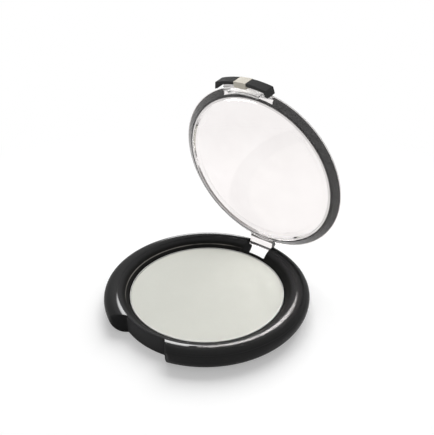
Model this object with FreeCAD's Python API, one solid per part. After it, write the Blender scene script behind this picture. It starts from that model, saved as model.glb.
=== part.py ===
"""A round pressed-powder compact: black dished base, powder in a metal pan, clear hinged lid.

Millimetres, +Z up. The origin is the centre of the base's underside. The hinge axis lies along X at
the back (+Y), and the thumb tab of the lid closes into the notch at the front (-Y). The lid is
shaped in its closed place and then swung open about the hinge axis to the angle it stands at.
"""
import math
import os

import FreeCAD
import Part
from FreeCAD import Vector

# Powder pan and what fills it
pan_diameter = 59.0
pan_height = 3.1
pan_wall = 0.35
pan_corner_radius = 0.8
powder_below_pan_edge = 0.25
powder_edge_radius = 0.3
adhesive_margin = 7.5
adhesive_thickness = 0.25

# Base case: a shallow dish with a fat rolled rim round the pan's well
pan_clearance = 0.3
floor_thickness = 1.3
pan_below_lip = 0.05
well_lip_width = 1.2
well_lip_bevel = 1.0
well_lip_round = 0.2
dish_width = 5.2
dish_depth = 2.3
rim_round = 2.8
foot_setback = 4.5

# Hinge at the back: a tongue of the lid turns on a steel pin between two ears of the rim
hinge_setback = 2.1
hinge_drop = 1.9
hinge_pin_diameter = 0.9
hinge_pin_seat = 2.4
hinge_pin_chamfer = 0.15
hinge_barrel_diameter = 2.2
hinge_notch_width = 11.7
hinge_notch_wall = 0.7
hinge_side_clearance = 0.3
pin_press_clearance = 0.02
pin_running_clearance = 0.05
tongue_root_overlap = 0.45
tongue_below_bead = 0.6
tongue_above_bead = 0.4
tongue_below_lid_top = 0.6
tongue_half_thickness = 0.75

# Lid: a clear moulding with a flat window, a bead under its edge and a conical flange
lid_inset = 0.6
lid_seat_clearance = 1.25
flange_edge_thickness = 0.35
flange_edge_round = 0.15
window_thickness = 1.3
bead_depth = 0.65
bead_width = 1.1
bead_outside_dish_edge = 1.6
lid_open_angle = 76.4

# Black trim let into the top of the flange
trim_edge_margin = 0.35
trim_over_bead = 0.35
trim_cover = 0.35
trim_gap_half_width = 10.4
trim_bridge_width = 0.9
trim_clearance = 0.05

# Thumb tab at the front: two black pads round a clear shelf
tab_overhang = 0.4
tab_half_width_front = 10.5
tab_half_width_root = 11.2
tab_root_inset = 0.3
tab_taper_length = 3.1
tab_step = 0.4
tab_shelf_thickness = 1.0
pad_height = 4.4
pad_thickness = 1.1
pad_root_gap = 1.5
pad_edge_round = 0.5
lug_width = 5.2
lug_setback = 0.08

# Notch in the front of the base that the tab drops into, and the catch inside it
notch_depth = 5.1
notch_flare_degrees = 45.0
notch_end_clearance = 0.5
notch_corner_round = 1.2
catch_lip = 0.2
catch_lip_height = 0.5
catch_lip_half_width = 5.5
catch_nib = 0.4
catch_nib_height = 0.5
catch_pass_clearance = 0.15
catch_rail_thickness = 0.8
catch_rail_half_width = 6.5
catch_rail_depth = 2.25

# Beyond every outline, so a cut passes right through
clear_of_part = 60.0
# Nearer than this, two places are one
same_place = 1e-6


def revolve(edges):
    """A solid of revolution about Z from a closed outline of edges in the XZ plane."""
    face = Part.Face(Part.Wire(Part.__sortEdges__(edges)))
    return face.revolve(Vector(0, 0, 0), Vector(0, 0, 1), 360)


def radial(radius, height):
    """A point of a revolved outline."""
    return Vector(radius, 0, height)


def lines(points, closed=False):
    """Straight edges through radius and height pairs."""
    places = [radial(*point) for point in points]
    if closed:
        places.append(places[0])
    return [Part.makeLine(a, b) for a, b in zip(places, places[1:])]


def arc_about(centre, radius, start_degrees, end_degrees):
    """A circular edge of a revolved outline, by its centre and two angles from the radial direction."""
    def place(degrees):
        angle = math.radians(degrees)
        return radial(centre[0] + radius * math.cos(angle), centre[1] + radius * math.sin(angle))
    middle = (start_degrees + end_degrees) / 2
    return Part.Arc(place(start_degrees), place(middle), place(end_degrees)).toShape()


def plan_prism(points, bottom, top):
    """A prism standing on a polygon drawn in plan."""
    places = [Vector(x, y, bottom) for x, y in points]
    face = Part.Face(Part.makePolygon(places + places[:1]))
    return face.extrude(Vector(0, 0, top - bottom))


def side_prism(points, half_width):
    """A prism along X on a polygon drawn in the YZ plane, centred on X = 0."""
    places = [Vector(-half_width, y, z) for y, z in points]
    face = Part.Face(Part.makePolygon(places + places[:1]))
    return face.extrude(Vector(2 * half_width, 0, 0))


def upright_cylinder(radius, bottom, top):
    return Part.makeCylinder(radius, top - bottom, Vector(0, 0, bottom))


def hinge_cylinder(radius, start, end):
    """A cylinder on the hinge axis from one X place to another."""
    foot = Vector(start, hinge_axis_y, hinge_axis_z)
    return Part.makeCylinder(radius, end - start, foot, Vector(1, 0, 0))


# Heights and radii that follow from the sizes above
pan_radius = pan_diameter / 2
pan_bottom = floor_thickness + adhesive_thickness
pan_top = pan_bottom + pan_height
powder_bottom = pan_bottom + pan_wall
powder_top = pan_top - powder_below_pan_edge
powder_radius = pan_radius - pan_wall

well_radius = pan_radius + pan_clearance
well_top = pan_top + pan_below_lip
dish_edge_radius = well_radius + well_lip_width
dish_edge_height = well_top + well_lip_bevel
crest_radius = dish_edge_radius + dish_width
base_height = dish_edge_height + dish_depth
base_radius = crest_radius + rim_round
rim_widest_height = base_height - rim_round
foot_radius = base_radius - foot_setback
bowl_round = (foot_setback ** 2 + rim_widest_height ** 2) / (2 * foot_setback)
dish_round = (dish_width ** 2 + dish_depth ** 2) / (2 * dish_depth)

hinge_axis_y = base_radius - hinge_setback
hinge_axis_z = base_height - hinge_drop
hinge_notch_radius = well_radius + hinge_notch_wall
hinge_notch_half_width = hinge_notch_width / 2
pin_radius = hinge_pin_diameter / 2
pin_end = hinge_notch_half_width + hinge_pin_seat
barrel_radius = hinge_barrel_diameter / 2
tongue_half_width = hinge_notch_half_width - hinge_side_clearance

lid_radius = crest_radius - lid_inset
flange_edge_height = base_height + lid_seat_clearance
lid_top_height = flange_edge_height + flange_edge_thickness
window_underside = lid_top_height - window_thickness
bead_bottom = window_underside - bead_depth
bead_outer_radius = dish_edge_radius + bead_outside_dish_edge
bead_inner_radius = bead_outer_radius - bead_width
flange_slope = (flange_edge_height - bead_bottom) / (lid_radius - bead_outer_radius)
trim_inner_radius = bead_outer_radius - trim_over_bead
trim_outer_radius = lid_radius - trim_edge_margin

tab_radius = base_radius + tab_overhang
tab_root_y = lid_radius - tab_root_inset
tab_taper = (tab_half_width_root - tab_half_width_front) / tab_taper_length
tab_top_height = lid_top_height - tab_step
pad_bottom = tab_top_height - pad_height
pad_root_radius = lid_radius + pad_root_gap
shelf_bottom = tab_top_height - tab_shelf_thickness
notch_wall_radius = base_radius - notch_depth
catch_rail_inner_radius = notch_wall_radius + catch_lip + catch_pass_clearance + catch_nib
catch_rail_outer_radius = catch_rail_inner_radius + catch_rail_thickness
catch_bottom = shelf_bottom - catch_rail_depth
catch_lip_middle = catch_bottom + catch_nib_height + 2 * catch_lip


def base_case():
    """The black moulding: bowl, rolled rim, dished slope and pan well, notched for hinge and tab."""
    bowl_centre = (base_radius - bowl_round, rim_widest_height)
    foot_angle = math.degrees(math.atan2(-rim_widest_height, foot_radius - bowl_centre[0]))
    dish_centre = (crest_radius, base_height - dish_round)
    dish_angle = math.degrees(math.atan2(dish_edge_height - dish_centre[1], -dish_width))
    outline = lines([(0, floor_thickness), (0, 0), (foot_radius, 0)])
    outline.append(arc_about(bowl_centre, bowl_round, foot_angle, 0))
    outline.append(arc_about((crest_radius, rim_widest_height), rim_round, 0, 90))
    outline.append(arc_about(dish_centre, dish_round, 90, dish_angle))
    outline += lines([
        (dish_edge_radius, dish_edge_height),
        (dish_edge_radius - well_lip_round, dish_edge_height - well_lip_round / 2),
        (well_radius, well_top),
        (well_radius, floor_thickness),
        (0, floor_thickness),
    ])
    case = revolve(outline)
    case = case.cut(front_notch())
    case = case.fuse(catch_lip_ridge())
    case = case.cut(hinge_notch())
    return case.cut(pin_bore()).removeSplitter()


def tab_half_width(reach):
    """Half the width of the thumb tab at a distance from the hinge side towards the front."""
    return tab_half_width_root - tab_taper * (reach - tab_root_y)


def front_notch():
    """The gap at the front of the rim: flared ends run by a round corner into a wall round the axis."""
    flare = math.tan(math.radians(notch_flare_degrees))
    root_half_width = tab_half_width_root + notch_end_clearance
    inner = dish_edge_radius
    inner_half_width = root_half_width - flare * (tab_root_y - inner)
    outer_half_width = root_half_width + flare * (clear_of_part - tab_root_y)
    wedge = plan_prism([
        (-inner_half_width, -inner),
        (inner_half_width, -inner),
        (outer_half_width, -clear_of_part),
        (-outer_half_width, -clear_of_part),
    ], -clear_of_part, clear_of_part)
    gap = wedge.cut(upright_cylinder(notch_wall_radius, -clear_of_part, clear_of_part))
    corners = [
        edge for edge in gap.Edges
        if edge.BoundBox.ZLength > clear_of_part and edge.BoundBox.YMin > -base_radius
    ]
    return gap.makeFillet(notch_corner_round, corners)


def front_strip(half_width, start):
    """A block that covers the front of the compact between two X places, from a Y place outwards."""
    return plan_prism([
        (-half_width, -start),
        (half_width, -start),
        (half_width, -clear_of_part),
        (-half_width, -clear_of_part),
    ], -clear_of_part, clear_of_part)


def catch_lip_ridge():
    """A low ridge across the notch's inner wall, which the nib of the lid's catch snaps under."""
    ridge = revolve(lines([
        (notch_wall_radius - catch_lip, catch_lip_middle - catch_lip),
        (notch_wall_radius, catch_lip_middle - catch_lip),
        (notch_wall_radius + catch_lip, catch_lip_middle),
        (notch_wall_radius, catch_lip_middle + catch_lip_height),
        (notch_wall_radius - catch_lip, catch_lip_middle + catch_lip_height),
    ], closed=True))
    return ridge.common(front_strip(catch_lip_half_width, 0))


def hinge_notch():
    """The gap at the back for the lid's tongue, down to a thin wall round the well."""
    gap = plan_prism([
        (-hinge_notch_half_width, 0),
        (hinge_notch_half_width, 0),
        (hinge_notch_half_width, clear_of_part),
        (-hinge_notch_half_width, clear_of_part),
    ], -clear_of_part, clear_of_part)
    return gap.cut(upright_cylinder(hinge_notch_radius, -clear_of_part, clear_of_part))


def pin_bore():
    """Blind in the left ear and open through the right one, where the pin is driven in."""
    return hinge_cylinder(pin_radius + pin_press_clearance, -pin_end, clear_of_part)


def hinge_pin():
    pin = hinge_cylinder(pin_radius, -pin_end, pin_end)
    rims = [edge for edge in pin.Edges if abs(edge.BoundBox.XLength) < same_place]
    return pin.makeChamfer(hinge_pin_chamfer, rims)


def pan_adhesive():
    """The thin double-sided pad that holds the pan down in its well."""
    return upright_cylinder(pan_radius - adhesive_margin, floor_thickness, pan_bottom)


def powder_pan():
    """A drawn metal cup with a straight wall and a rounded bottom corner."""
    inner_corner = pan_corner_radius - pan_wall
    outline = lines([(0, powder_bottom), (0, pan_bottom), (pan_radius - pan_corner_radius, pan_bottom)])
    corner = (pan_radius - pan_corner_radius, pan_bottom + pan_corner_radius)
    outline.append(arc_about(corner, pan_corner_radius, -90, 0))
    outline += lines([
        (pan_radius, pan_bottom + pan_corner_radius),
        (pan_radius, pan_top),
        (powder_radius, pan_top),
        (powder_radius, pan_bottom + pan_corner_radius),
    ])
    outline.append(arc_about(corner, inner_corner, 0, -90))
    outline += lines([(powder_radius - inner_corner, powder_bottom), (0, powder_bottom)])
    return revolve(outline)


def pressed_powder():
    """The cake of powder, which fills the pan to just below its edge."""
    inner_corner = pan_corner_radius - pan_wall
    corner = (powder_radius - inner_corner, powder_bottom + inner_corner)
    outline = lines([(0, powder_top), (0, powder_bottom), (powder_radius - inner_corner, powder_bottom)])
    outline.append(arc_about(corner, inner_corner, -90, 0))
    outline += lines([
        (powder_radius, powder_bottom + inner_corner),
        (powder_radius, powder_top - powder_edge_radius),
    ])
    shoulder = (powder_radius - powder_edge_radius, powder_top - powder_edge_radius)
    outline.append(arc_about(shoulder, powder_edge_radius, 0, 90))
    outline += lines([(powder_radius - powder_edge_radius, powder_top), (0, powder_top)])
    return revolve(outline)


def lid_disc():
    """Window, bead and conical flange as one turned form."""
    outline = lines([
        (0, lid_top_height),
        (0, window_underside),
        (bead_inner_radius - bead_depth, window_underside),
        (bead_inner_radius, bead_bottom),
        (bead_outer_radius, bead_bottom),
        (lid_radius, flange_edge_height),
        (lid_radius, lid_top_height - flange_edge_round),
    ])
    shoulder = (lid_radius - flange_edge_round, lid_top_height - flange_edge_round)
    outline.append(arc_about(shoulder, flange_edge_round, 0, 90))
    outline += lines([(shoulder[0], lid_top_height), (0, lid_top_height)])
    return revolve(outline)


def trim_ring(clearance):
    """The black band, narrow across the tab, grown by a clearance to make the channel it lies in."""
    inner = trim_inner_radius - clearance
    outer = trim_outer_radius + clearance
    flat_seat = bead_bottom + trim_cover - clearance
    outer_seat = flat_seat + flange_slope * (outer - bead_outer_radius)
    ring = revolve(lines([
        (inner, lid_top_height),
        (inner, flat_seat),
        (bead_outer_radius, flat_seat),
        (outer, outer_seat),
        (outer, lid_top_height),
    ], closed=True))
    bridge = upright_cylinder(inner + trim_bridge_width + 2 * clearance, 0, clear_of_part)
    return ring.cut(front_strip(trim_gap_half_width - clearance, 0).cut(bridge))


def hinge_tongue():
    """A flat tongue from the bead out to the barrel that turns on the pin."""
    plate = side_prism([
        (bead_outer_radius - tongue_root_overlap, bead_bottom - tongue_below_bead),
        (hinge_axis_y, hinge_axis_z - tongue_half_thickness),
        (hinge_axis_y + tongue_half_thickness, hinge_axis_z + tongue_half_thickness),
        (lid_radius - flange_edge_round, lid_top_height - tongue_below_lid_top),
        (bead_outer_radius, bead_bottom + tongue_above_bead),
    ], tongue_half_width)
    return plate.fuse(hinge_cylinder(barrel_radius, -tongue_half_width, tongue_half_width))


def tab_plan(inset, radius, bottom, top):
    """The thumb tab's outline as a prism, drawn in from its front and its tapered ends."""
    inner = bead_outer_radius
    wedge = plan_prism([
        (-tab_half_width(inner) + inset, -inner),
        (tab_half_width(inner) - inset, -inner),
        (tab_half_width(clear_of_part) - inset, -clear_of_part),
        (-tab_half_width(clear_of_part) + inset, -clear_of_part),
    ], bottom, top)
    return wedge.common(upright_cylinder(radius, bottom, top))


def tab_shelf():
    """The clear shelf that carries the pads, with a lug that shows between them."""
    inset = pad_thickness + trim_clearance
    shelf = tab_plan(inset, tab_radius - inset, shelf_bottom, tab_top_height)
    root = upright_cylinder(bead_outer_radius, 0, clear_of_part)
    lug = upright_cylinder(tab_radius - lug_setback, pad_bottom + lug_setback, tab_top_height)
    lug = lug.common(front_strip(lug_width / 2 - trim_clearance, pad_root_radius))
    return shelf.cut(root).fuse(lug)


def catch_rail():
    """The springy rail under the shelf, with the nib that snaps into the front of the base."""
    top = shelf_bottom + tab_shelf_thickness / 2
    rail = revolve(lines([
        (catch_rail_inner_radius, top),
        (catch_rail_inner_radius, catch_bottom + catch_nib_height),
        (catch_rail_inner_radius - catch_nib, catch_bottom + catch_nib_height / 2),
        (catch_rail_inner_radius, catch_bottom),
        (catch_rail_outer_radius, catch_bottom),
        (catch_rail_outer_radius, top),
    ], closed=True))
    return rail.common(front_strip(catch_rail_half_width, 0))


def lid_window():
    """The whole clear moulding, with the trim's channel and the pin's bore cut in it."""
    lid = lid_disc().fuse([hinge_tongue(), tab_shelf(), catch_rail()])
    lid = lid.cut(trim_ring(trim_clearance))
    bore = hinge_cylinder(pin_radius + pin_running_clearance, -clear_of_part, clear_of_part)
    return lid.cut(bore).removeSplitter()


def clasp_pads():
    """The two black pads that wrap the front and ends of the thumb tab, left then right."""
    outer = tab_plan(0, tab_radius, pad_bottom, tab_top_height)
    inner = tab_plan(pad_thickness, tab_radius - pad_thickness, 0, clear_of_part)
    wall = outer.cut(inner).cut(upright_cylinder(pad_root_radius, 0, clear_of_part))
    wall = wall.cut(front_strip(lug_width / 2, 0))
    pads = sorted(wall.Solids, key=lambda solid: solid.CenterOfMass.x)
    return [round_pad(pad) for pad in pads]


def round_pad(pad):
    """A pad with its front top edge rolled over."""
    front = [
        edge for edge in pad.Edges
        if abs(edge.BoundBox.ZMin - tab_top_height) < same_place
        and isinstance(edge.Curve, Part.Circle)
        and abs(edge.Curve.Radius - tab_radius) < same_place
    ]
    return pad.makeFillet(pad_edge_round, front)


def swing_open(shape):
    """Turn a closed lid piece about the hinge axis to the angle that the lid stands open at."""
    opened = shape.copy()
    opened.rotate(Vector(0, hinge_axis_y, hinge_axis_z), Vector(1, 0, 0), -lid_open_angle)
    return opened


pad_left, pad_right = clasp_pads()
pieces = {
    "base_case": base_case(),
    "powder_pan": powder_pan(),
    "pressed_powder": pressed_powder(),
    "pan_adhesive": pan_adhesive(),
    "hinge_pin": hinge_pin(),
    "lid_window": swing_open(lid_window()),
    "lid_trim": swing_open(trim_ring(0)),
    "clasp_pad_left": swing_open(pad_left),
    "clasp_pad_right": swing_open(pad_right),
}

os.makedirs("parts", exist_ok=True)
for name, shape in pieces.items():
    print(name, "solids", len(shape.Solids), "valid", shape.isValid(), "volume", round(shape.Volume, 1))
    shape.exportStep(f"parts/{name}.step")
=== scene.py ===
"""A round pressed-powder compact, open: gloss black base, powder in a metal pan, clear lid with black trim.

Metres, +Z up, the hinge at the back (+Y) and the thumb tab's notch at the front (-Y).
"""
import math

import bmesh
import bpy
import numpy as np
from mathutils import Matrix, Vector


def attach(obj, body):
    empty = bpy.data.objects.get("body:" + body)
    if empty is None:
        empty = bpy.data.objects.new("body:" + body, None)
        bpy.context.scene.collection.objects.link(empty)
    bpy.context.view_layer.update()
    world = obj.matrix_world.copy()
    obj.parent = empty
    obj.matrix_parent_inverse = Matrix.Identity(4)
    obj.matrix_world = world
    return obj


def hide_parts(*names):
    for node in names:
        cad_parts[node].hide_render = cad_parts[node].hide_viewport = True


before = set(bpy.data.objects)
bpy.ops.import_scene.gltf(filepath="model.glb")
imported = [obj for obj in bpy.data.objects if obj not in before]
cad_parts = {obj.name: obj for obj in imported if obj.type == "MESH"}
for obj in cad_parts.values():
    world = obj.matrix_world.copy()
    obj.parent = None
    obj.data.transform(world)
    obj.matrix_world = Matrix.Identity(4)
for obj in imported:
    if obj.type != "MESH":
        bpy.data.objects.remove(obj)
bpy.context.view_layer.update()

# Base case
# One black styrene moulding: a shallow bowl with a fat rolled rim, a dish that slopes down to the pan's
# well, a notch at the front for the thumb tab and one at the back for the hinge. The tool is polished where
# it forms the rim and left dull in the dish, in the notches and underneath.
mm = 0.001
well_radius = 29.8 * mm
well_floor = 1.3 * mm
well_top = 4.7 * mm
well_edge_round = 0.15 * mm
dish_edge = np.array([31.0, 5.7]) * mm
dish_edge_round = 0.25 * mm
crest_radius = 36.2 * mm
base_height = 8.0 * mm
rim_round = 2.8 * mm
base_radius = crest_radius + rim_round
widest_height = base_height - rim_round
foot_radius = 34.5 * mm
hinge_wall_radius = 30.5 * mm
hinge_half_width = 5.85 * mm
hinge_edge_angle = math.asin(hinge_half_width / hinge_wall_radius)
hinge_fade_angle = math.radians(42)
notch_wall_radius = 33.9 * mm
notch_flare_offset = 23.6 * mm
notch_flare_least_slope = 0.1
notch_corner_round = 0.8 * mm
notch_outer_round = 4.5 * mm
notch_edge_round = 0.8 * mm
notch_end_degrees = (14, 23)
notch_most_angle = math.pi / 4
catch_lip = 0.2 * mm
catch_lip_heights = np.array([6.65, 6.85, 7.35]) * mm
catch_lip_half_width = 5.5 * mm
hinge_y = 36.9 * mm
hinge_z = 6.1 * mm
pin_radius = 0.45 * mm
pin_end = 8.25 * mm
bore_radius = 0.47 * mm
bore_mouth = 16 * mm
case_even_columns = 260
notch_end_columns = 72
hinge_wall_columns = 19
hinge_side_rows = 8
skin_rows = 64
notch_wall_rows = 44
pin_columns = 40
weld_distance = 1e-6
sliver_length = 1e-7
crease_angle = math.radians(40)


def arc(centre, radius, start, end, steps):
    """Points at even angles round a centre, from one angle in degrees to another."""
    angle = np.radians(np.linspace(start, end, steps))
    return np.column_stack([centre[0] + radius * np.cos(angle), centre[1] + radius * np.sin(angle)])


def shares(steps, points):
    """Even shares from nothing to one, shaped to multiply whole arrays of points."""
    return np.linspace(0, 1, steps).reshape((-1,) + (1,) * np.ndim(points))


def straight(start, end, steps):
    """Points evenly spaced on straight runs, each a share of the end and the rest of the start."""
    share = shares(steps, start)
    return (1 - share) * np.asarray(start) + share * np.asarray(end)


def eased(before, corner, after, steps):
    """A corner eased off: the quadratic curve that leaves one run and joins the next, tangent to both."""
    share = shares(steps, corner)
    return (1 - share) ** 2 * before + 2 * share * (1 - share) * corner + share ** 2 * after


def path_length(path):
    """The distance along a path to each of its points."""
    return np.concatenate([[0], np.cumsum(np.linalg.norm(np.diff(path, axis=0), axis=1))])


def along(path, distance):
    """Radius and height at a distance along a profile, on straight lines between its points."""
    length = path_length(path)
    return np.stack([np.interp(distance, length, path[:, axis]) for axis in (0, 1)], axis=-1)


def round_min(first, second, reach):
    """The smaller of two values, run together by a parabola where they differ by less than the reach."""
    near = np.maximum(reach - np.abs(first - second), 0) / reach
    return np.minimum(first, second) - near ** 2 * reach / 4


def grid_faces(rows, columns, closed, start):
    """Four-sided faces of a grid of points numbered row by row from a start.

    Each face takes two neighbours of one row and the same two of the next row. Where the grid is closed, the
    last column's neighbour is the first.
    """
    face_columns = columns if closed else columns - 1
    row, column = np.meshgrid(np.arange(rows - 1), np.arange(face_columns), indexing="ij")
    after = (column + 1) % columns
    corners = (row * columns + column, row * columns + after,
               (row + 1) * columns + after, (row + 1) * columns + column)
    return start + np.stack([corner.ravel() for corner in corners], axis=1)


def surface(name, sheets):
    """One closed mesh from grids of points that meet at equal points.

    Each sheet is an array of rows, columns and xyz, with True where its columns close on themselves. Points
    in one place become one, so poles and seams close, and the faces are turned outwards.
    """
    counts = [sheet.shape[0] * sheet.shape[1] for sheet, closed in sheets]
    starts = np.cumsum([0] + counts)
    points = [sheet.reshape(-1, 3) for sheet, closed in sheets]
    faces = [grid_faces(sheet.shape[0], sheet.shape[1], closed, start)
             for (sheet, closed), start in zip(sheets, starts)]
    mesh = bpy.data.meshes.new(name)
    mesh.from_pydata(np.concatenate(points), [], np.concatenate(faces))
    work = bmesh.new()
    work.from_mesh(mesh)
    bmesh.ops.remove_doubles(work, verts=work.verts, dist=weld_distance)
    bmesh.ops.dissolve_degenerate(work, edges=work.edges, dist=sliver_length)
    bmesh.ops.recalc_face_normals(work, faces=work.faces)
    work.to_mesh(mesh)
    work.free()
    mesh.shade_smooth()
    mesh.set_sharp_from_angle(angle=crease_angle)
    piece = bpy.data.objects.new(name, mesh)
    bpy.context.scene.collection.objects.link(piece)
    return piece


def turned(profile, angles):
    """A profile of radius and height pairs carried round Z, at angles counted from the hinge towards +X."""
    radius, height = profile[:, 0, None], profile[:, 1, None]
    return np.stack(np.broadcast_arrays(radius * np.sin(angles), radius * np.cos(angles), height), axis=-1)


def hinge_turned(profile):
    """A profile of radius and sideways place pairs carried round the hinge's line."""
    angles = np.linspace(0, 2 * math.pi, pin_columns, endpoint=False)
    radius, place = profile[:, 0, None], profile[:, 1, None]
    return np.stack(np.broadcast_arrays(
        place, hinge_y + radius * np.cos(angles), hinge_z + radius * np.sin(angles)), axis=-1)


def case_columns():
    """Even angles round the base between the hinge notch's sides, with more at the front notch's ends."""
    even = np.linspace(hinge_edge_angle, 2 * math.pi - hinge_edge_angle, case_even_columns)
    ends = math.pi + np.radians(np.linspace(*notch_end_degrees, notch_end_columns))
    return np.unique(np.concatenate([even, ends, 2 * math.pi - ends]))


def case_reach(angles):
    """How far out the base goes at each angle: its full radius, or the front notch's wall and flared ends.

    A flared end is a plane at 45 degrees, where the distance to the front less the distance to the side is
    one offset, so its radius is that offset over the difference of cosine and sine. Near 45 degrees, where
    the difference runs out, a least slope takes its place.
    """
    aside = np.abs(math.pi - angles)
    slope = np.maximum(np.cos(aside) - np.sin(aside), notch_flare_least_slope)
    inside = -round_min(-notch_flare_offset / slope, -notch_wall_radius, notch_corner_round)
    notched = round_min(inside, base_radius, notch_outer_round)
    return np.where(aside < notch_most_angle, notched, base_radius)


def case_sections(angles, upper, lower):
    """The base's outer skin as a profile for each angle: over the rim, down the notch's wall, under the bowl.

    Where the reach is the full radius the wall has no height and the two curves meet at the widest line.
    Where the notch cuts in, both curves stop at the reach, and eased corners, each a third of the wall at
    most, join them to an upright wall. Across the notch's middle the catch's lip stands out of the wall.
    """
    reach = case_reach(angles)
    top_end = np.interp(reach, upper[:, 0], path_length(upper))
    low_start = np.interp(-reach, -lower[:, 0], path_length(lower))
    top, low = along(upper, top_end), along(lower, low_start)
    ease = np.minimum(notch_edge_round, (top[:, 1] - low[:, 1]) / 3)
    drop = np.stack([0 * ease, ease], axis=-1)
    share = shares(skin_rows, angles)
    over = along(upper, share * (top_end - ease))
    under = along(lower, low_start + ease + share * (path_length(lower)[-1] - low_start - ease))
    wall = straight(top - drop, low + drop, notch_wall_rows)
    ridge = np.interp(wall[..., 1], catch_lip_heights, [0, catch_lip, 0], left=0, right=0)
    across = np.abs(reach * np.sin(angles))
    wall[..., 0] += ridge * (np.abs(math.pi - angles) < notch_most_angle) * (across < catch_lip_half_width)
    return np.concatenate([
        over,
        eased(over[-1], top, top - drop, steps=10)[1:],
        wall[1:],
        eased(low + drop, low, under[0], steps=6)[1:],
        under[1:],
    ])


def case_bend(sections, angles):
    """The sections stood round Z, their angles drawn in near the hinge so that its notch has parallel sides.

    At the notch's side the sine of the angle is the half width over the radius. The shift that this takes
    fades out with the angle.
    """
    radius, height = sections[..., 0], sections[..., 1]
    signed = np.where(angles > math.pi, angles - 2 * math.pi, angles)
    fade = np.clip((hinge_fade_angle - np.abs(signed)) / (hinge_fade_angle - hinge_edge_angle), 0, 1)
    shift = np.arcsin(hinge_half_width / np.maximum(radius, hinge_wall_radius)) - hinge_edge_angle
    turn = signed + np.sign(signed) * fade * shift
    return np.stack([radius * np.sin(turn), radius * np.cos(turn), height], axis=-1)


def drilled(piece, drill):
    """The piece less the drill's form, with its sharp edges marked again."""
    cut = piece.modifiers.new("bore", "BOOLEAN")
    cut.operation = "DIFFERENCE"
    cut.solver = "EXACT"
    cut.object = drill
    mesh = bpy.data.meshes.new_from_object(piece.evaluated_get(bpy.context.evaluated_depsgraph_get()))
    piece.modifiers.clear()
    piece.data = mesh
    mesh.name = piece.name
    mesh.set_sharp_from_angle(angle=crease_angle)
    bpy.data.objects.remove(drill)


bowl_setback = base_radius - foot_radius
bowl_round = (bowl_setback ** 2 + widest_height ** 2) / (2 * bowl_setback)
bowl_centre = np.array([base_radius - bowl_round, widest_height])
foot_angle = math.degrees(math.atan2(-widest_height, foot_radius - bowl_centre[0]))
dish_fall = base_height - dish_edge[1]
dish_width = crest_radius - dish_edge[0]
dish_round = (dish_width ** 2 + dish_fall ** 2) / (2 * dish_fall)
dish_centre = np.array([crest_radius, base_height - dish_round])
dish_angle = math.degrees(math.atan2(dish_edge[1] - dish_centre[1], -dish_width))
well_edge = np.array([well_radius, well_top])
lip_run = (dish_edge - well_edge) / np.linalg.norm(dish_edge - well_edge)
hinge_lip = well_edge + lip_run * (hinge_wall_radius - well_radius) / lip_run[0]
dish_arc = arc(dish_centre, dish_round, dish_angle, 90, steps=50)
dish_arc = dish_arc[np.linalg.norm(dish_arc - dish_edge, axis=1) > dish_edge_round]
upper_profile = np.concatenate([
    hinge_lip[None],
    eased(dish_edge - lip_run * dish_edge_round, dish_edge, dish_arc[0], steps=6),
    dish_arc[1:],
    arc((crest_radius, widest_height), rim_round, 90, 0, steps=60)[1:],
])
lower_profile = np.concatenate([
    arc(bowl_centre, bowl_round, 0, foot_angle, steps=60),
    straight((foot_radius, 0), (hinge_wall_radius, 0), steps=8)[1:],
])
well_profile = np.concatenate([
    straight((0, well_floor), (well_radius, well_floor), steps=6),
    eased(well_edge - [0, well_edge_round], well_edge, well_edge + lip_run * well_edge_round, steps=5),
    hinge_lip[None],
])
foot_profile = straight((hinge_wall_radius, 0), (0, 0), steps=3)
hinge_wall_profile = straight(hinge_lip, (hinge_wall_radius, 0), hinge_side_rows)
ring_angles = case_columns()
hinge_angles = np.linspace(ring_angles[-1] - 2 * math.pi, ring_angles[0], hinge_wall_columns)
round_angles = np.concatenate([ring_angles, hinge_angles[1:-1] + 2 * math.pi])
skin = case_bend(case_sections(ring_angles, upper_profile, lower_profile), ring_angles)
hinge_sides = [straight(skin[:skin_rows, column], skin[:-skin_rows - 1:-1, column], hinge_side_rows)
               for column in (0, -1)]
case = surface("case", [
    (turned(well_profile, round_angles), True),
    (skin, False),
    (turned(hinge_wall_profile, hinge_angles), False),
    (hinge_sides[0], False),
    (hinge_sides[1], False),
    (turned(foot_profile, round_angles), True),
])
bore_profile = np.array([(0, -pin_end), (bore_radius, -pin_end), (bore_radius, bore_mouth), (0, bore_mouth)])
drilled(case, surface("pin_drill", [(hinge_turned(bore_profile), True)]))


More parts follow.
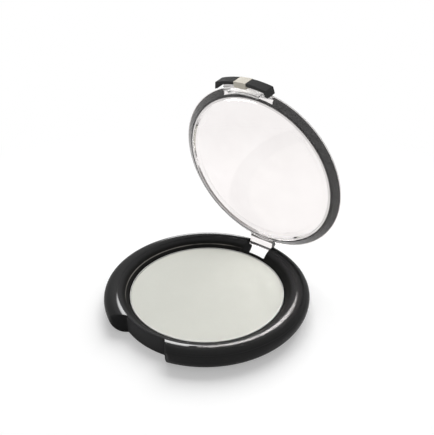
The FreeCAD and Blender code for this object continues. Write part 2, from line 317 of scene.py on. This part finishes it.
class Flow:
    """A socket of a node tree that can be added, subtracted and multiplied, with a number on either side."""

    def __init__(self, tree, socket=None):
        self.tree = tree
        self.socket = socket

    def node(self, kind, settings=None, sockets=None, output=0):
        """A node of any kind: its settings first, then values or links for its sockets; gives one output."""
        made = self.tree.nodes.new(kind)
        for key, value in (settings or {}).items():
            setattr(made, key, value)
        for key, value in (sockets or {}).items():
            if isinstance(value, Flow):
                self.tree.links.new(value.socket, made.inputs[key])
            else:
                made.inputs[key].default_value = value
        return Flow(self.tree, made.outputs[output] if made.outputs else None)

    def maths(self, operation, first, second=0):
        """A Math node on one or two values."""
        return self.node("ShaderNodeMath", {"operation": operation}, {0: first, 1: second})

    def __add__(self, other):
        return self.maths("ADD", self, other)

    def __radd__(self, other):
        return self.maths("ADD", other, self)

    def __sub__(self, other):
        return self.maths("SUBTRACT", self, other)

    def __rsub__(self, other):
        return self.maths("SUBTRACT", other, self)

    def __mul__(self, other):
        return self.maths("MULTIPLY", self, other)

    def __rmul__(self, other):
        return self.maths("MULTIPLY", other, self)

    def __abs__(self):
        return self.maths("ABSOLUTE", self)

    def larger(self, other):
        """The larger of this value and another."""
        return self.maths("MAXIMUM", self, other)

    def rise(self, span):
        """Nothing up to the span's start, one from its end on, and an eased climb between."""
        return self.node("ShaderNodeMapRange", {"interpolation_type": "SMOOTHSTEP"},
                         {"Value": self, "From Min": span[0], "From Max": span[1]})

    def blend(self, first, second):
        """A colour between two colours, by this share."""
        return self.node("ShaderNodeMix", {"data_type": "RGBA"}, {0: self, 6: first, 7: second}, 2)

    def mix(self, first, second):
        """A shader between two shaders, by this share."""
        return self.node("ShaderNodeMixShader", sockets={0: self, 1: first, 2: second})

    def bump(self, strength, depth):
        """The surface's normal, tilted as if this value stood up from it to a depth."""
        return self.node("ShaderNodeBump", sockets={"Height": self, "Strength": strength, "Distance": depth})

    def noise(self, scale, detail, fineness=(1, 1, 1)):
        """Soft noise on the object's own coordinates, so many to the metre times a fineness for each axis."""
        place = self.node("ShaderNodeTexCoord", output="Object")
        place = self.node("ShaderNodeMapping", sockets={"Vector": place, "Scale": fineness})
        return self.node("ShaderNodeTexNoise", sockets={"Vector": place, "Scale": scale, "Detail": detail})

    def spot(self, turn=(0, 0, 0), shift=(0, 0, 0)):
        """The object's own coordinates, turned and then shifted, and the distance from the upright axis."""
        place = self.node("ShaderNodeTexCoord", output="Object")
        place = self.node("ShaderNodeMapping", sockets={"Vector": place, "Rotation": turn, "Location": shift})
        x, y, z = [self.node("ShaderNodeSeparateXYZ", sockets={"Vector": place}, output=axis)
                   for axis in "XYZ"]
        return x, y, z, self.maths("SQRT", x * x + y * y)

    def principled(self, sockets):
        """A Principled shader."""
        return self.node("ShaderNodeBsdfPrincipled", sockets=sockets)

    def shown(self, output="ShaderNodeOutputMaterial"):
        """This shader made the one that its material, lamp or sky shows."""
        self.node(output, sockets={"Surface": self})


def finish(name):
    """An empty material and its flow."""
    material = bpy.data.materials.new(name)
    material.use_nodes = True
    material.node_tree.nodes.clear()
    return material, Flow(material.node_tree)


def dress(piece, material):
    """A piece in one material all over."""
    piece.data.materials.clear()
    piece.data.materials.append(material)


dish_blacks = (0.022, 0.022, 0.0224, 1), (0.028, 0.028, 0.0285, 1)
rim_blacks = (0.006, 0.006, 0.0062, 1), (0.009, 0.009, 0.0092, 1)
# A darker black painted on the dish's foot next to the well: painted shade.
lip_painted_shade = (0.011, 0.011, 0.0105, 1)
# A lighter grey painted on the front notch's wall and ends: painted light lifting their shade.
notch_painted_light = (0.055, 0.055, 0.056, 1)
# A pale grey laid along the back left of the dish's edge: a painted highlight.
lip_highlight_grey = (0.2, 0.19, 0.175, 1)
polish_radius = np.array([33.3, 33.8]) * mm
polish_height = np.array([6.9, 7.2]) * mm
polish_side_radius = np.array([38.2, 38.5]) * mm
polish_end_past_flare = np.array([-0.7, -0.1]) * mm
notch_start_past_flare = np.array([0.1, 0.6]) * mm
notch_start_radius = np.array([33.5, 33.8]) * mm
lip_shade_radius = np.array([31.6, 32.8]) * mm
highlight_inner_radius = np.array([30.8, 30.92]) * mm
highlight_outer_radius = np.array([31.08, 31.2]) * mm
highlight_height = np.array([5.0, 5.2]) * mm
highlight_lean = 0.2
highlight_side = np.array([6, 26]) * mm
highlight_patches = (0.25, 0.6)
gloss_black, flow = finish("gloss_black")
smudge = flow.noise(70, detail=3)
grain = flow.noise(1400, detail=2)
x, y, z, radius = flow.spot()
past_flare = 0 - y - abs(x) - notch_flare_offset
polished = radius.rise(polish_radius) * z.rise(polish_height).larger(radius.rise(polish_side_radius))
polished = polished * (1 - past_flare.rise(polish_end_past_flare))
# Painted light: the notch's wall and flared ends are made lighter than the dish.
notch_light_mask = past_flare.rise(notch_start_past_flare) * radius.rise(notch_start_radius)
# Painted highlight: a thin band round the dish's edge, strongest at the back left and broken into patches.
lip_edge = radius.rise(highlight_inner_radius) * (1 - radius.rise(highlight_outer_radius)) * z.rise(highlight_height)
lip_highlight = lip_edge * (highlight_lean * y - x).rise(highlight_side) * smudge.rise(highlight_patches)
# Painted shade: the dish turns darker inside the lip shade radius, next to the well.
dull_tone = radius.rise(lip_shade_radius).blend(lip_painted_shade, smudge.blend(*dish_blacks))
dull_tone = lip_highlight.blend(dull_tone, lip_highlight_grey)
dull_tone = notch_light_mask.blend(dull_tone, notch_painted_light)
flow.principled({
    "Base Color": polished.blend(dull_tone, smudge.blend(*rim_blacks)),
    "Roughness": 0.55 + 0.1 * smudge,
    "IOR": 1.49,
    "Specular IOR Level": 0.02,
    "Coat Weight": (0.27 + 0.06 * smudge) * polished,
    "Coat Roughness": 0.05,
    "Normal": grain.bump(strength=0.03, depth=0.05 * mm),
}).shown()
dress(case, gloss_black)
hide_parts("base_case")
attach(case, "base")

# Adhesive pad
# A disc of white double-sided foam tape, die-cut to lie in the well. It holds the pan down and is out of
# sight.
foam_whites = (0.72, 0.72, 0.69, 1), (0.9, 0.9, 0.88, 1)
foam_white, flow = finish("foam_white")
cells = flow.noise(2600, detail=4)
flow.principled({
    "Base Color": cells.blend(*foam_whites),
    "Roughness": 0.75 + 0.2 * cells,
    "Normal": cells.bump(strength=0.3, depth=0.08 * mm),
}).shown()
dress(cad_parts["pan_adhesive"], foam_white)

# Powder pan
# A shallow cup drawn from bright aluminium sheet, its cut edge rolled smooth. It sits in the base's well,
# pressed on the adhesive pad, with its edge just below the well's.
pan_radius = 29.5 * mm
pan_bottom = 1.55 * mm
pan_top = 4.65 * mm
pan_wall = 0.35 * mm
pan_corner = 0.8 * mm
pan_columns = 288
pan_angles = np.linspace(0, 2 * math.pi, pan_columns, endpoint=False)
pan_corner_centre = (pan_radius - pan_corner, pan_bottom + pan_corner)
pan_edge_centre = (pan_radius - pan_wall / 2, pan_top - pan_wall / 2)
pan_profile = np.concatenate([
    straight((0, pan_bottom), (pan_corner_centre[0], pan_bottom), steps=4),
    arc(pan_corner_centre, pan_corner, -90, 0, steps=10)[1:],
    arc(pan_edge_centre, pan_wall / 2, 0, 180, steps=16),
    arc(pan_corner_centre, pan_corner - pan_wall, 0, -90, steps=8),
    straight((pan_corner_centre[0], pan_bottom + pan_wall), (0, pan_bottom + pan_wall), steps=4)[1:],
])
pan = surface("pan", [(turned(pan_profile, pan_angles), True)])
aluminium_greys = (0.4, 0.4, 0.39, 1), (0.52, 0.52, 0.51, 1)
bright_aluminium, flow = finish("bright_aluminium")
draw_lines = flow.noise(500, detail=3, fineness=(1, 1, 14))
flow.principled({
    "Base Color": draw_lines.blend(*aluminium_greys),
    "Metallic": 1.0,
    "Roughness": 0.5 + 0.16 * draw_lines,
    "Normal": draw_lines.bump(strength=0.1, depth=0.03 * mm),
}).shown()
dress(pan, bright_aluminium)
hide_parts("powder_pan")
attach(pan, "base")

# Pressed powder
# A cake of pale powder pressed in the pan through a cloth, so that its face is dead matt and very faintly
# uneven, with a small round where it draws away from the pan's wall.
cake_radius = pan_radius - pan_wall
cake_bottom = pan_bottom + pan_wall
cake_top = 4.4 * mm
cake_edge = 0.3 * mm
cake_corner = pan_corner - pan_wall
cake_face_depth = 0.001 * mm
cake_sway = 0.02 * mm
cake_sway_fade = 3 * mm
cake_waves = [(620, 240, 0), (-330, 410, 1.7), (150, 890, 0.6)]
cake_corner_centre = (cake_radius - cake_corner, cake_bottom + cake_corner)
cake = turned(np.concatenate([
    straight((0, cake_bottom), (cake_corner_centre[0], cake_bottom), steps=4),
    arc(cake_corner_centre, cake_corner, -90, 0, steps=8)[1:],
    arc((cake_radius - cake_edge, cake_top - cake_edge), cake_edge, 0, 90, steps=10),
    straight((cake_radius - cake_edge, cake_top), (0, cake_top), steps=70)[1:],
]), pan_angles)


def cake_swayed(x, y, height):
    """Heights of the cake, its pressed face let down where three shallow waves dip, but not at its edge.

    Each wave is the sine of so many radians to the metre along x and along y, from a phase of its own. The
    face goes down by the whole sway where all three are lowest and by nothing where all are highest.
    """
    waves = sum(np.sin(by_x * x + by_y * y + phase) for by_x, by_y, phase in cake_waves)
    from_edge = np.clip((cake_radius - np.hypot(x, y)) / cake_sway_fade, 0, 1)
    sway = cake_sway * (waves / len(cake_waves) - 1) / 2 * from_edge
    return height + np.where(height > cake_top - cake_face_depth, sway, 0)


cake[..., 2] = cake_swayed(cake[..., 0], cake[..., 1], cake[..., 2])
powder = surface("powder", [(cake, True)])
powder_tones = (0.65, 0.66, 0.6, 1), (0.74, 0.745, 0.69, 1)
pressed_powder, flow = finish("pressed_powder")
blotch = flow.noise(90, detail=3)
dust = flow.noise(3800, detail=4)
flow.principled({
    "Base Color": (0.35 * blotch + 0.65 * dust).blend(*powder_tones),
    "Roughness": 0.88 + 0.1 * dust,
    "Specular IOR Level": 0.15,
    "Sheen Weight": 0.08,
    "Normal": dust.bump(strength=0.25, depth=0.04 * mm),
}).shown()
dress(powder, pressed_powder)
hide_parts("pressed_powder")
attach(powder, "base")

# Hinge pin
# A length of drawn steel wire with its ends broken. It goes in from one side, through one ear of the rim
# and the lid's barrel into the other ear, and the barrel turns on it.
pin_chamfer = 0.15 * mm
pin_half = np.array([
    (pin_radius, 0),
    (pin_radius, pin_end - pin_chamfer),
    (pin_radius - pin_chamfer, pin_end),
    (0, pin_end),
])
pin_profile = np.concatenate([pin_half[::-1] * [1, -1], pin_half[1:]])
pin = surface("pin", [(hinge_turned(pin_profile), True)])
steel_greys = (0.03, 0.03, 0.029, 1), (0.07, 0.07, 0.068, 1)
drawn_steel, flow = finish("drawn_steel")
wire_lines = flow.noise(2200, detail=2, fineness=(0.04, 1, 1))
flow.principled({
    "Base Color": wire_lines.blend(*steel_greys),
    "Metallic": 1.0,
    "Roughness": 0.22 + 0.2 * wire_lines,
}).shown()
dress(pin, drawn_steel)
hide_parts("hinge_pin")
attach(pin, "base")

# Lid moulding
# One clear styrene moulding: flat window, bead under its edge, conical flange, hinge tongue with its barrel,
# and at the front the thumb tab's shelf, lug and catch rail. The flat is given a weaker mirror than the
# edges.
# The bead and catch rail are tinted grey as painted shade, the shelf carries light and dark bands as painted
# highlight and shade of steps that it does not have, and the lug is painted cream as a painted reflection.
lid_open = math.radians(76.4)
hinge = np.array([0, hinge_y, hinge_z])
turn_shut = np.array([
    (1, 0, 0),
    (0, math.cos(lid_open), -math.sin(lid_open)),
    (0, math.sin(lid_open), math.cos(lid_open)),
])
flat_edge_radius = np.array([28.6, 29.4]) * mm
bead_inner_radius = np.array([31.2, 31.5]) * mm
bead_outer_radius = np.array([32.8, 33.2]) * mm
bead_top = np.array([8.2, 8.5]) * mm
rail_front = np.array([34.2, 34.6]) * mm
rail_top = np.array([6.2, 6.5]) * mm
shelf_front = np.array([33.0, 33.6]) * mm
shelf_top = np.array([8.3, 8.5]) * mm
shelf_cover = 0.7
step_radians_per_metre = 6300
step_edge = (0.1, 0.8)
lug_front = np.array([36.6, 36.9]) * mm
lug_half_width = np.array([2.55, 2.65]) * mm
window_tints = (0.88, 0.845, 0.838, 1), (0.95, 0.92, 0.912, 1)
# A grey tint for the bead and catch rail: painted shade on the clear plastic.
edge_painted_shade = (0.5, 0.48, 0.475, 1)
# Near white and near black bands: painted highlight and shade of steps on a flat shelf.
step_painted_light_and_shade = (0.95, 0.945, 0.94, 1), (0.12, 0.12, 0.12, 1)
# Cream tones for the lug: a painted reflection of a bright softbox.
lug_reflection_creams = (0.7, 0.66, 0.57, 1), (0.77, 0.725, 0.63, 1)


def shut_spot(flow):
    """Places on the lid as they are with the lid shut, turned back about the hinge from how it stands open.

    Turning about the hinge is turning about the origin, then a shift by the hinge less the turned hinge.
    """
    return flow.spot((lid_open, 0, 0), tuple(hinge - turn_shut @ hinge))


clear_styrene, flow = finish("clear_styrene")
handling = flow.noise(120, detail=4)
x, y, z, radius = shut_spot(flow)
front = 0 - y
bead = radius.rise(bead_inner_radius) * (1 - radius.rise(bead_outer_radius)) * (1 - z.rise(bead_top))
rail = front.rise(rail_front) * (1 - z.rise(rail_top))
shelf = front.rise(shelf_front) * (1 - z.rise(shelf_top))
lug = front.rise(lug_front) * (1 - abs(x).rise(lug_half_width))
step_wave = flow.maths("SINE", radius * step_radians_per_metre)
window_tint = handling.blend(*window_tints)
haze = 0.004 + 0.012 * handling
# The bead and catch rail take the painted shade grey in place of the window's tint.
edges = flow.principled({
    "Base Color": bead.larger(rail).blend(window_tint, edge_painted_shade),
    "Roughness": haze + 0.15 * bead,
    "IOR": 1.42,
    "Transmission Weight": 1.0,
})
flat = flow.principled({
    "Base Color": window_tint,
    "Roughness": haze,
    "IOR": 1.25,
    "Transmission Weight": 1.0,
})
# Painted steps: an opaque skin of light and dark bands laid over most of the clear shelf.
painted_steps = flow.principled({
    "Base Color": step_wave.rise(step_edge).blend(*step_painted_light_and_shade),
    "Roughness": 0.5 + 0.1 * handling,
    "Specular IOR Level": 0.1,
})
# Painted reflection: the clear lug is made an opaque cream.
lug_painted_reflection = flow.principled({
    "Base Color": handling.blend(*lug_reflection_creams),
    "Roughness": 0.6 + 0.1 * handling,
    "Specular IOR Level": 0.1,
})
moulding = radius.rise(flat_edge_radius).mix(flat, edges)
moulding = (shelf_cover * shelf).mix(moulding, painted_steps)
lug.mix(moulding, lug_painted_reflection).shown()
dress(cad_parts["lid_window"], clear_styrene)
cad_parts["lid_window"].visible_shadow = False

# Lid trim
# A black band let into the top of the flange, seen from inside through the clear plastic. Its inner edge is
# painted pale grey.
trim_blacks = (0.02, 0.02, 0.02, 1), (0.03, 0.03, 0.03, 1)
trim_inner_grey = (0.4, 0.385, 0.38, 1)
trim_inner_grey_radius = np.array([32.28, 32.45]) * mm


def dull_skin(fleck, tone, roughness, gloss):
    """A dull plastic skin of a tone, its roughness raised and its face grained by the flecks."""
    return fleck.principled({
        "Base Color": tone,
        "Roughness": roughness + 0.2 * fleck,
        "IOR": 1.49,
        "Specular IOR Level": gloss,
        "Normal": fleck.bump(strength=0.1, depth=0.04 * mm),
    })


satin_black, flow = finish("satin_black")
fleck = flow.noise(2400, detail=3)
radius = shut_spot(flow)[-1]
trim_tone = radius.rise(trim_inner_grey_radius).blend(trim_inner_grey, fleck.blend(*trim_blacks))
dull_skin(fleck, trim_tone, roughness=0.55, gloss=0.05).shown()
dress(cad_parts["lid_trim"], satin_black)

# Clasp pads
# Two black caps moulded over the front and the ends of the thumb tab, one each side of the lug, with the same
# dull skin as the trim but a lighter tone.
pad_blacks = (0.055, 0.055, 0.055, 1), (0.075, 0.075, 0.075, 1)
pad_black, flow = finish("pad_black")
fleck = flow.noise(2400, detail=3)
dull_skin(fleck, fleck.blend(*pad_blacks), roughness=0.7, gloss=0.01).shown()
dress(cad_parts["clasp_pad_left"], pad_black)
dress(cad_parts["clasp_pad_right"], pad_black)

# Studio
# A pale floor, a white sky and a soft key light from above and behind, as a product photographer sets them.
# A small bright panel low behind the compact lights nothing dull. Gloss mirrors it, as the line along the
# rim, and clear plastic lets it through.
floor_half = 3.0
paper_grey = (0.72, 0.72, 0.72, 1)
paper_lift = 0.34
paper_fade = (0.1, 0.22)
sky_level = 0.33
panel_fade = 0.2
camera_place = np.array([0.0962, -0.11215, 0.11574])
camera_tilt = math.radians(61.557)
camera_swing = math.radians(39.149)
photo_side_pixels = 435
focal_pixels = 472.88
film_width = 36
toward_camera = camera_place[:2] / np.linalg.norm(camera_place[:2])
leftward = toward_camera[::-1] * [1, -1]


def seen_rays(flow):
    """One for rays from the camera, by gloss or through clear pieces, and nothing for light that falls."""
    direct, mirrored, passed = [flow.node("ShaderNodeLightPath", output=name)
                                for name in ("Is Camera Ray", "Is Glossy Ray", "Is Transmission Ray")]
    return direct.larger(mirrored).larger(passed)


floor_mesh = bpy.data.meshes.new("floor")
floor_corners = np.array([(-1, -1, 0), (1, -1, 0), (1, 1, 0), (-1, 1, 0)]) * floor_half
floor_mesh.from_pydata(floor_corners, [], [(0, 1, 2, 3)])
floor = bpy.data.objects.new("floor", floor_mesh)
bpy.context.scene.collection.objects.link(floor)
white_floor, flow = finish("white_floor")
seen = seen_rays(flow)
paper = flow.node("ShaderNodeBsdfDiffuse", sockets={"Color": paper_grey})
lift = flow.node("ShaderNodeEmission", sockets={"Strength": paper_lift * seen})
near_floor = flow.node("ShaderNodeAddShader", sockets={0: paper, 1: lift})
far_floor = flow.node("ShaderNodeEmission", sockets={"Strength": 1.0})
away = flow.spot()[-1].rise(paper_fade)
(away * seen).mix(near_floor, far_floor).shown()
dress(floor, white_floor)

world = bpy.data.worlds.new("sky")
bpy.context.scene.world = world
world.use_nodes = True
world.node_tree.nodes.clear()
flow = Flow(world.node_tree)
flow.node("ShaderNodeBackground", sockets={
    "Color": (1, 1, 1, 1),
    "Strength": sky_level + (1 - sky_level) * seen_rays(flow),
}).shown("ShaderNodeOutputWorld")


def softbox(name, behind, left, height, width, depth, radiance):
    """A rectangular lamp, so far behind the compact, to its left and up, turned to face it.

    Its power is its radiance times pi times its area.
    """
    lamp = bpy.data.lights.new(name, "AREA")
    lamp.shape = "RECTANGLE"
    lamp.size = width
    lamp.size_y = depth
    lamp.energy = radiance * math.pi * width * depth
    holder = bpy.data.objects.new(name, lamp)
    bpy.context.scene.collection.objects.link(holder)
    ground_place = left * leftward - behind * toward_camera
    place = Vector((*ground_place, height))
    holder.location = place
    holder.rotation_euler = (-place).to_track_quat("-Z", "Y").to_euler()
    return holder


soft_light = softbox("soft_light", behind=1.1, left=-0.3, height=1.36, width=1.6, depth=1.4, radiance=4.5)
soft_light.visible_glossy = False
soft_light.visible_transmission = False
gloss_light = softbox("gloss_light", behind=1.0, left=-0.017, height=0.375, width=0.385, depth=0.455,
                      radiance=24)
gloss_light.visible_diffuse = False
gloss_light.data.use_nodes = True
gloss_light.data.node_tree.nodes.clear()
flow = Flow(gloss_light.data.node_tree)
panel_spot = flow.node("ShaderNodeNewGeometry", output="Parametric")
glow = 1
for axis in "XY":
    share = flow.node("ShaderNodeSeparateXYZ", sockets={"Vector": panel_spot}, output=axis)
    glow = glow * share.rise((0, panel_fade)) * (1 - share.rise((1 - panel_fade, 1)))
flow.node("ShaderNodeEmission", sockets={"Strength": glow}).shown("ShaderNodeOutputLight")

lens = bpy.data.cameras.new("camera")
lens.sensor_width = film_width
lens.lens = focal_pixels / photo_side_pixels * film_width
lens.clip_start = 0.01
camera = bpy.data.objects.new("camera", lens)
bpy.context.scene.collection.objects.link(camera)
camera.location = camera_place
camera.rotation_euler = (camera_tilt, 0, camera_swing)
bpy.context.scene.camera = camera
bpy.context.scene.view_settings.view_transform = "Standard"
